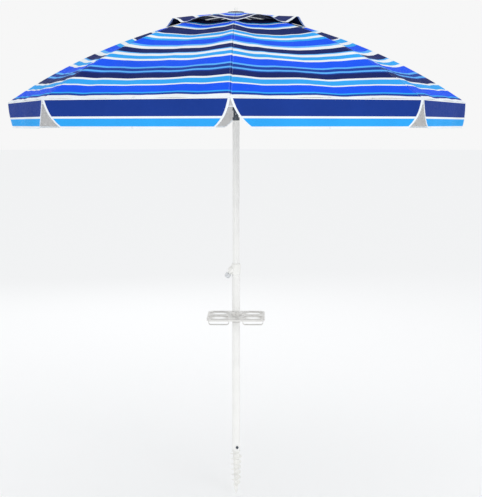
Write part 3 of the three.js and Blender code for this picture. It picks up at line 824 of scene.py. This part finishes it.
def make_gore(k):
    def shape(i, j):
        r = lerp(VENT_R, CANOPY_R - CLOTH_INSET, i)
        across = spread(j)
        ring = r + stripe_shift(panel_of(k, across))
        return canopy_point(k, r, across), ring, (across * r * math.sin(HALF), r)

    gore = thicken(cloth_piece(f"canopy_cloth_{k}", 84, 40, shape, canopy_cloth, lining), Vector((0, 0, 1)))
    rim = [ring_line(canopy_point, k, CANOPY_R - inset) for inset in (0.001, 0.0095)]
    tape = band(f"rim_{k}", *rim, TAPE_LIFT, 48, binding)
    vent = [ring_line(canopy_point, k, VENT_R + inset) for inset in (0, 0.012)]
    # the hem round the vent is painted dark navy, as shadow under the vent cap
    hem = band(f"vent_hem_{k}", *vent, 0.0006, 24, painted_vent_shadow)
    whole = joined(f"canopy_gore_cloth_{k}", [gore, tape, hem])
    whole.data.transform(turn(k))
    finish(whole, None, "striped_cloth", f"rib_{k}", f"canopy_gore_{k}")
    stretch_gore(whole, (VENT_R, CANOPY_R))


def flap_point(k, side, a, depth):
    """The valance beside rib k: a runs along the rim from the corner, depth down from it."""
    s = a / RIM_CHORD if side > 0 else 1 - a / RIM_CHORD
    panel = panel_of(k, side)
    hang = depth / VALANCE
    sway = 0.006 * noise.noise(Vector((panel * 4.3 + s * 4.2, 0.7, 2.2)))
    flutter = 0.003 * math.sin(2 * math.pi * (2.6 * s + 0.37 * panel))
    out = -0.0004 - 0.002 * hang**2 + hang**1.3 * (sway + flutter)
    corner = Vector((CANOPY_R, 0, RIM_Z))
    along = Vector((-math.sin(HALF), math.cos(HALF), 0))
    facing = Vector((math.cos(HALF), math.sin(HALF), 0))
    point = corner + along * a + facing * out - Vector((0, 0, depth))
    return Vector((point.x, side * point.y, point.z))


def flap_edge(side, depth):
    """How far from the corner a flap begins: it curves away towards the hem."""
    down = depth / VALANCE
    straight, curved = FLAP_CUT[side]
    return 0.0003 + straight * down + curved * down**3


def make_half_flap(k, side):
    """Half of a panel's flap, from the rib's corner to the middle of the panel, with its tape."""

    def shape(i, j):
        depth = lerp(0.0012, VALANCE - CLOTH_INSET, i)
        a = lerp(flap_edge(side, depth), RIM_CHORD / 2, j)
        return flap_point(k, side, a, depth), depth, (a, depth)

    name = f"flap_{k}_{'left' if side < 0 else 'right'}"
    outward = Vector((math.cos(HALF), side * math.sin(HALF), 0))
    flap = thicken(cloth_piece(name, 18, 44, shape, valance_cloth, lining), outward)
    inwards = outward * (CLOTH / 2)
    turn_at = 0.3  # the share of the tape that runs down the curved edge, before the hem

    def edge_line(inset):
        def at(s):
            depth = lerp(0.002, VALANCE - inset, min(1, s / turn_at))
            along_hem = max(0, (s - turn_at) / (1 - turn_at))
            a = lerp(flap_edge(side, depth) + inset, RIM_CHORD / 2, along_hem)
            return flap_point(k, side, a, depth) - inwards

        return at

    tape = band(name + "_tape", edge_line(0.0002), edge_line(TAPE_WIDTH), TAPE_LIFT, 60, binding)
    return [flap, tape]


def make_valance(k):
    whole = joined(f"valance_cloth_{k}", [*make_half_flap(k, 1), *make_half_flap(k, -1)])
    whole.data.transform(turn(k))
    finish(whole, None, "striped_cloth", f"rib_{k}", f"valance_{k}")
    fold_with_rib(whole)


def cap_point(k, r, across):
    """The vent cap's outer face: flat over the hub, along the ribs, and billowing up between them."""
    x, y = octagon_point(r, across)
    t = abs(across)
    out = max(0.0, (r - CROWN_FLAT) / (CAP_R - CROWN_FLAT))
    panel = panel_of(k, across)
    # the panels at the sides stand up more than those at the front and back
    puff = 0.70 + 0.30 * math.cos(azimuth(k) + math.copysign(HALF, across)) ** 2
    lift = CAP_LIFT * puff * out**1.5 * math.sin(math.pi * t / 2) ** 2
    u = from_middle(r, across)
    fold = 0.0075 * noise.noise(Vector((panel * 6.3 + u * 19, r * 5, 7.7))) * out**2
    crease = 0.0016 * noise.noise(Vector((panel * 6.3 + u * 40, r * 9, 2.9))) * out
    slack = (crease + fold) * min(1, 3 * t)
    z = cloth_z(r if r > CROWN_FLAT else PIVOT_R) + CAP_RISE + lift + slack
    return Vector((x, y, z))


def make_cap_gore(k):
    def shape(i, j):
        r = lerp(CAP_HOLE, CAP_R - CLOTH_INSET, i)
        across = spread(j)
        return cap_point(k, r, across), r, (across * r * math.sin(HALF), r)

    # the cap's underside is painted dark navy, standing in for the shade beneath the cap
    gore = thicken(cloth_piece(f"cap_cloth_{k}", 44, 32, shape, cap_cloth, painted_vent_shadow), Vector((0, 0, 1)))
    rim = [ring_line(cap_point, k, CAP_R - inset) for inset in (0.0005, 0.0085)]
    tape = band(f"cap_rim_{k}", *rim, TAPE_LIFT, 36, binding)
    whole = joined(f"vent_cap_cloth_{k}", [gore, tape])
    whole.data.transform(turn(k))
    finish(whole, None, "striped_cloth", f"rib_{k}", "vent_cap")
    stretch_gore(whole, (CAP_HOLE, CAP_R), CAP_FULLNESS)


# -------- ribs, stretchers, crown and runner
EYE_R = 0.0043
EYE_THICK = 0.004
SLOT_HALF = 0.0029  # half of the width of the slots that the eyes turn in


def eye(name, p, r=EYE_R, thick=EYE_THICK):
    """The flattened end of a rod round its pivot p."""
    return rod(name, (p.x, -thick / 2, p.z), (p.x, thick / 2, p.z), r, 24, 0.0006)


def make_rib(k):
    start = 0.0034 / RIB_LENGTH
    line = [rib_point(lerp(start, 1, i / 40)) for i in range(41)]
    shaft = sweep(f"rib_shaft_{k}", line, circle(ROD_R, 14))
    end = rib_point(1)
    way = (end - rib_point(0.97)).normalized()
    tip = rod(f"rib_tip_{k}", end - way * 0.014, end + way * 0.0006, 0.0034, 20, 0.0014)
    whole = joined(f"rib_steel_{k}", [shaft, eye(f"rib_eye_{k}", CROWN_PIVOT), tip])
    whole.data.transform(turn(k))
    finish(crisp(whole), zinc, "steel", f"rib_{k}", f"rib_{k}")


def make_stretcher(k):
    way = (CLIP_PIVOT - RUNNER_PIVOT).normalized()
    shaft = rod(f"stretcher_shaft_{k}", RUNNER_PIVOT + way * 0.0034, CLIP_PIVOT - way * 0.012, ROD_R, 14)
    length = (CLIP_PIVOT - RUNNER_PIVOT).length
    lay = Matrix.Translation(RUNNER_PIVOT) @ Matrix.Rotation(-math.atan2(way.z, way.x), 4, "Y")
    low, high = (length - 0.016, -0.0015, -0.0022), (length, 0.0015, 0.0022)
    tongue = block(f"tongue_{k}", low, high, 0.0004, lay)
    eyes = [eye(f"eye_low_{k}", RUNNER_PIVOT), eye(f"eye_high_{k}", CLIP_PIVOT, 0.0036, 0.003)]
    whole = joined(f"stretcher_steel_{k}", [shaft, tongue, *eyes])
    whole.data.transform(turn(k))
    finish(crisp(whole), zinc, "steel", f"stretcher_{k}", f"stretcher_{k}")


def make_clip(k):
    name = f"rib_clip_moulded_{k}"
    keep_shape(f"rib_clip_{k}", name, white_plastic, "plastic_white", f"rib_{k}", 0.0005)


def slot_cutters(name, low, high, inner):
    """Eight blocks that cut the slots of a crown or runner, from the radius inner outwards."""
    start, end = (inner, -SLOT_HALF, low), (0.034, SLOT_HALF, high)
    return [block(f"{name}_{k}", start, end, 0.0004, turn(k)) for k in range(1, RIBS + 1)]


def make_crown():
    low = UPPER_TUBE_TOP - 0.016
    profile = [
        (0, UPPER_TUBE_TOP + 0.0003),
        (POLE_R + 0.0004, UPPER_TUBE_TOP + 0.0003),
        (POLE_R + 0.0004, low),
        (0.018, low),
        (0.018, CROWN_PIVOT.z - 0.006),
        (0.030, CROWN_PIVOT.z - 0.006),
        (0.030, CROWN_TOP - 0.0012),
        (0.0285, CROWN_TOP),
        (0, CROWN_TOP),
    ]
    hub = lathe("crown_hub_moulded", profile, closed=False)
    cut(hub, *slot_cutters("crown_slot", CROWN_PIVOT.z - 0.008, CROWN_PIVOT.z + 0.0049, 0.0187))
    finish(crisp(hub), white_plastic, "plastic_white", "upper_pole", "crown_hub")


def make_runner():
    low = RUNNER_Z - 0.038
    profile = [
        (0.0156, low),
        (0.024, low),
        (0.025, low + 0.002),
        (0.021, low + 0.008),
        (0.021, RUNNER_Z - 0.012),
        (0.030, RUNNER_Z - 0.007),
        (0.030, RUNNER_Z + 0.005),
        (0.0156, RUNNER_Z + 0.005),
    ]
    body = lathe("runner_moulded", profile)
    cut(body, *slot_cutters("runner_slot", RUNNER_Z - 0.0049, RUNNER_Z + 0.008, 0.0189))
    finish(crisp(body), white_plastic, "plastic_white", "runner", "runner")


def make_wire_ring(name, z, body):
    """An octagon of wire through the eyes, straight at each pivot."""
    r = PIVOT_R / math.cos(HALF)
    angles = [azimuth(k) + HALF for k in range(RIBS)]
    corners = [Vector((r * math.cos(a), r * math.sin(a), z)) for a in angles]
    steps = 8
    path = []
    for k, corner in enumerate(corners):
        path += [corner.lerp(corners[(k + 1) % RIBS], s / steps) for s in range(steps)]
    wire = sweep(name + "_wire", path, circle(0.001, 12), Vector((0, 0, 1)), True)
    finish(wire, zinc, "steel", body, name)


def make_finial():
    base = CROWN_TOP + 0.0024
    profile = [
        (0, CROWN_TOP - 0.009),
        (0.004, CROWN_TOP - 0.009),
        (0.004, base),
        (0.031, base),
        (0.033, base + 0.001),
        (0.031, base + 0.003),
        (0.018, base + 0.0055),
        (0.0095, base + 0.0075),
        (0.007, base + 0.0095),
        (0.0076, base + 0.014),
        (0.0062, base + 0.018),
        (0.0034, base + 0.0202),
        (0, base + 0.0208),
    ]
    finial = lathe("finial_moulded", profile, 64, 0.0022, False)
    finish(finial, white_plastic, "plastic_white", "upper_pole", "finial")


# -------- pole
def make_tube(node, outer, body):
    low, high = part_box(node)
    profile = [(outer - WALL, low.z), (outer, low.z), (outer, high.z), (outer - WALL, high.z)]
    finish(lathe(node + "_painted", profile, 96, 0.0004), pole_paint, "pole_white", body, node)


KNOB_WAY = Vector((-math.cos(KNOB_DIP), 0, -math.sin(KNOB_DIP)))


def make_collar():
    low, high = COLLAR_Z
    profile = [
        (0, low),
        (0.0176, low),
        (0.0185, low + 0.0015),
        (0.0185, high - 0.003),
        (0.017, high),
        (0, high),
    ]
    sleeve = lathe("lock_collar_moulded", profile, 96, 0.0012, False)
    r = 0.015
    arc = [(r * math.sin(math.pi * i / 24), -r * math.cos(math.pi * i / 24)) for i in range(1, 24)]
    ball = lathe("boss_ball", [(0, -r), *arc, (0, r)], 64, 0.0, False)
    ball.data.transform(Matrix.Translation(BOSS))
    nose = rod("boss_nose", BOSS, BOSS + KNOB_WAY * 0.017, 0.008, 48, 0.0012)
    fused(sleeve, ball, nose)
    below, above = (0, 0, low - 0.013), (0, 0, high + 0.013)
    bores = [
        rod("bore_high", below, above, POLE_R + 0.0005, 96, 0.0),
        rod("bore_low", below, (0, 0, COLLAR_STEP), LOWER_R + BORE_GAP, 96, 0.0),
        rod("bore_screw", BOSS + KNOB_WAY * 0.005, BOSS + KNOB_WAY * 0.04, 0.0044, 32, 0.0),
    ]
    cut(sleeve, *bores)
    finish(crisp(sleeve, 40), white_plastic, "plastic_white", "lower_pole", "lock_collar")


def make_knob():
    """A lobed knob on its screw, drawn along +Z from the boss's middle."""
    profile = [
        (0, 0.006),
        (0.004, 0.006),
        (0.004, 0.019),
        (0.0112, 0.0192),
        (0.0116, 0.021),
        (0.0116, 0.031),
        (0.0110, 0.0330),
        (0.0095, 0.0334),
        (0.0090, 0.0352),
        (0.0060, 0.0367),
        (0, 0.0370),
    ]

    def lobes(angle, p):
        on_grip = 0.0108 < p.x < 0.0117
        return 1 + (0.1 * math.cos(6 * angle) if on_grip else 0)

    knob = lathe("lock_knob_moulded", profile, 144, 0.0009, False, lobes)
    knob.data.transform(Matrix.Translation(BOSS) @ KNOB_WAY.to_track_quat("Z", "Y").to_matrix().to_4x4())
    finish(crisp(knob, 50), grey_plastic, "plastic_grey", "lock_knob", "lock_knob")


# -------- tray
def rounded_half(side, inset=0.0):
    """Half of the tray's outline, from the middle line round one end and back, drawn in by inset."""
    hx, hy = TRAY_HALF[0] - inset, TRAY_HALF[1] - inset
    r = TRAY_CORNER - inset
    points = [(SPLIT, -hy)]
    for q, (sx, sy) in enumerate([(1, -1), (1, 1)]):
        for i in range(13):
            a = -math.pi / 2 + (q + i / 12) * math.pi / 2
            points.append((sx * (hx - r) + r * math.cos(a), sy * (hy - r) + r * math.sin(a)))
    points.append((SPLIT, hy))
    return [(side * x, y) for x, y in points]


def half_circle(side, r, steps):
    """Half of a circle on one side of the split, from the front to the back."""
    angles = [-math.pi / 2 + math.pi * i / steps for i in range(steps + 1)]
    return [(side * max(r * math.cos(a), SPLIT), r * math.sin(a)) for a in angles]


def make_strap(name, x, y):
    """A U of flat plastic that hangs under a cup hole and carries the cup."""
    deep, half_wide, thick, bend = 0.027, 0.008, 0.0024, 0.009
    out = CUP_R + 0.0008 + thick / 2
    line = [(-out, 0.0)]
    for i in range(13):
        a = math.pi * (1 + i / 24)
        line.append((-out + bend + bend * math.cos(a), -deep - thick / 2 + bend + bend * math.sin(a)))
    line += [(-u, w) for u, w in reversed(line)]
    path = [Vector((x + u, y, TRAY_TOP - 0.002 + w)) for u, w in line]
    u, w = half_wide, thick / 2
    section = [(p.y, p.x) for p in fillet([(-u, -w), (u, -w), (u, w), (-u, w)], 0.0008, 2)]
    return sweep(name, path, section)


def make_clamp(side, name, bore):
    """Half of the block that grips the front of the pole, with the hole for its screw."""
    x = sorted((side * SPLIT, side * CLAMP_HALF))
    low, high = TRAY_TOP + CLAMP_LOW, TRAY_TOP + CLAMP_TOP
    clamp = block(name, (x[0], CLAMP_FRONT, low), (x[1], CLAMP_BACK, high), 0.0016)
    screw_y, screw_z = SCREW_AT[0], TRAY_TOP + SCREW_AT[1]
    tools = [
        rod("clamp_bore", (0, 0, low - 0.01), (0, 0, high + 0.01), bore, 96, 0.0),
        rod("clamp_hole", (-0.03, screw_y, screw_z), (0.03, screw_y, screw_z), 0.0029, 24, 0.0),
    ]
    return cut(clamp, *tools)


def make_cup(name, x, y):
    """The short wall round a cup hole, and the raised lip on top of it."""
    holes = [circle(CUP_R, 96, (x, y))]
    outline = circle(CUP_R + TRAY_WALL, 96, (x, y))
    wall = extruded(f"cup_{name}", outline, holes, TRAY_TOP - 0.008, TRAY_TOP - 0.0005, 0.0005)
    edge = [(0.0001, -0.001), (0.0026, -0.001), (0.0020, 0.0009), (0.0006, 0.0009)]
    lip = lathe(f"lip_{name}", [(CUP_R + out, up) for out, up in edge], 96, 0.0006)
    lip.data.transform(Matrix.Translation((x, y, TRAY_TOP)))
    return [wall, lip]


def make_web(name, side, end):
    """A stiffening rib under the plate beside the split, from the hub to the front or back."""
    y = sorted((end * (HUB_R - 0.0005), end * (TRAY_HALF[1] - 0.0025)))
    x = sorted((side * 0.0004, side * TRAY_WALL))
    return block(name, (x[0], y[0], TRAY_TOP - 0.009), (x[1], y[1], TRAY_TOP - 0.002), 0.0004)


def make_tray_half(side, word):
    bore = LOWER_R + BORE_GAP
    outer = rounded_half(side)
    # the plate's middle edge steps round the pole
    plate = outer + half_circle(side, bore, 32)[::-1]
    cups = [(side * CUP_AT[0], end * CUP_AT[1]) for end in (-1, 1)]
    holes = [circle(CUP_R, 96, cup) for cup in cups]
    parts = [extruded(f"plate_{word}", plate, holes, TRAY_TOP - 0.003, TRAY_TOP, 0.0007)]
    skirt = outer + rounded_half(side, TRAY_WALL)[::-1]
    parts.append(extruded(f"skirt_{word}", skirt, [], TRAY_TOP - TRAY_EDGE, TRAY_TOP - 0.0008, 0.0006))
    for i, cup in enumerate(cups):
        parts += make_cup(f"{word}_{i}", *cup)
        parts.append(make_strap(f"strap_{word}_{i}", *cup))
    hub = half_circle(side, HUB_R, 40) + half_circle(side, bore, 40)[::-1]
    parts.append(extruded(f"hub_{word}", hub, [], TRAY_TOP - 0.020, TRAY_TOP + 0.005, 0.0006))
    parts.append(make_clamp(side, f"clamp_{word}", bore))
    parts += [make_web(f"web_{word}_{i}", side, end) for i, end in enumerate((-1, 1))]
    whole = crisp(joined(f"tray_{word}_moulded", parts), 40)
    finish(whole, tray_plastic, "plastic_white", "tray", f"tray_half_{word}")


# -------- sand anchor
def core_radius(z):
    return lerp(*CORE_R, min(1, max(0, (z - CORE_Z[0]) / (CORE_Z[1] - CORE_Z[0]))))


# the auger's blade: the share of the way from its root to its rim, and millimetres up from its middle
BLADE = [(0, -2.2), (0.5, -1.5), (0.93, -0.75), (1, 0), (0.93, 0.75), (0.5, 1.5), (0, 2.2)]


def make_anchor():
    plug_r = LOWER_R - WALL - 0.0004
    collar_r = LOWER_R + 0.0015
    collar_top = 0.1777
    profile = [
        (0, 0),
        (0.0012, 0.0004),
        (CORE_R[0], CORE_Z[0]),
        (CORE_R[1], CORE_Z[1]),
        (collar_r, CORE_Z[1] + 0.002),
        (collar_r, collar_top),
        (plug_r, collar_top),
        (plug_r, PLUG_TOP),
        (0, PLUG_TOP),
    ]
    core = lathe("anchor_core", profile, 64, 0.0015, False)
    steps = 64 * AUGER_TURNS
    sides = len(BLADE)

    def at(i, j):
        angle = 2 * math.pi * AUGER_TURNS * i
        z = lerp(*AUGER_Z, i)
        # the blade is narrower within its first and its last turn
        fade = min(1, i * AUGER_TURNS + 0.25, (1 - i) * AUGER_TURNS + 0.5)
        root = core_radius(z) - 0.0025
        rim = root + (lerp(*AUGER_R, i) - root) * fade
        out, up = BLADE[round(j * sides) % sides]
        r = lerp(root, rim, out)
        return (r * math.cos(angle), r * math.sin(angle), z + up / 1000)

    vertices, faces = grid(steps, sides, at, round_columns=True)
    ends = [tuple(range(sides)), tuple(steps * sides + j for j in range(sides))]
    flight = tidy(new_object("anchor_flight", vertices, faces + ends))
    whole = crisp(joined("sand_anchor_moulded", [core, flight]), 50)
    finish(whole, white_plastic, "plastic_white", "lower_pole", "sand_anchor")


# -------- everything
make_camera()
make_studio()
make_floor()

for rib in range(1, RIBS + 1):
    make_gore(rib)
    make_valance(rib)
    make_rib(rib)
    make_stretcher(rib)
    make_clip(rib)
for rib in range(1, RIBS + 1):
    make_cap_gore(rib)

make_crown()
make_runner()
make_wire_ring("crown_ring", CROWN_PIVOT.z, "upper_pole")
make_wire_ring("runner_ring", RUNNER_Z, "runner")
make_finial()
make_tube("lower_tube", LOWER_R, "lower_pole")
make_tube("mid_tube", POLE_R, "mid_pole")
make_tube("upper_tube", POLE_R, "upper_pole")
make_collar()
make_knob()
make_tray_half(-1, "left")
make_tray_half(1, "right")
make_anchor()
keep_shape("tilt_lower_knuckle", "tilt_lower_cast", dark_metal, "metal_dark", "mid_pole", 0.0006)
keep_shape("tilt_upper_knuckle", "tilt_upper_cast", dark_metal, "metal_dark", "upper_pole", 0.0006)
keep_shape("tilt_pin", "tilt_pin_steel", zinc, "steel", "mid_pole", 0.0003)
keep_shape("runner_catch", "runner_catch_steel", zinc, "steel", "runner_catch", 0.0003)
keep_shape("tray_screw", "tray_screw_steel", zinc, "steel", "tray", 0.0004)
keep_shape("anchor_bolt", "anchor_bolt_steel", dark_metal, "metal_dark", "lower_pole", 0.0005)
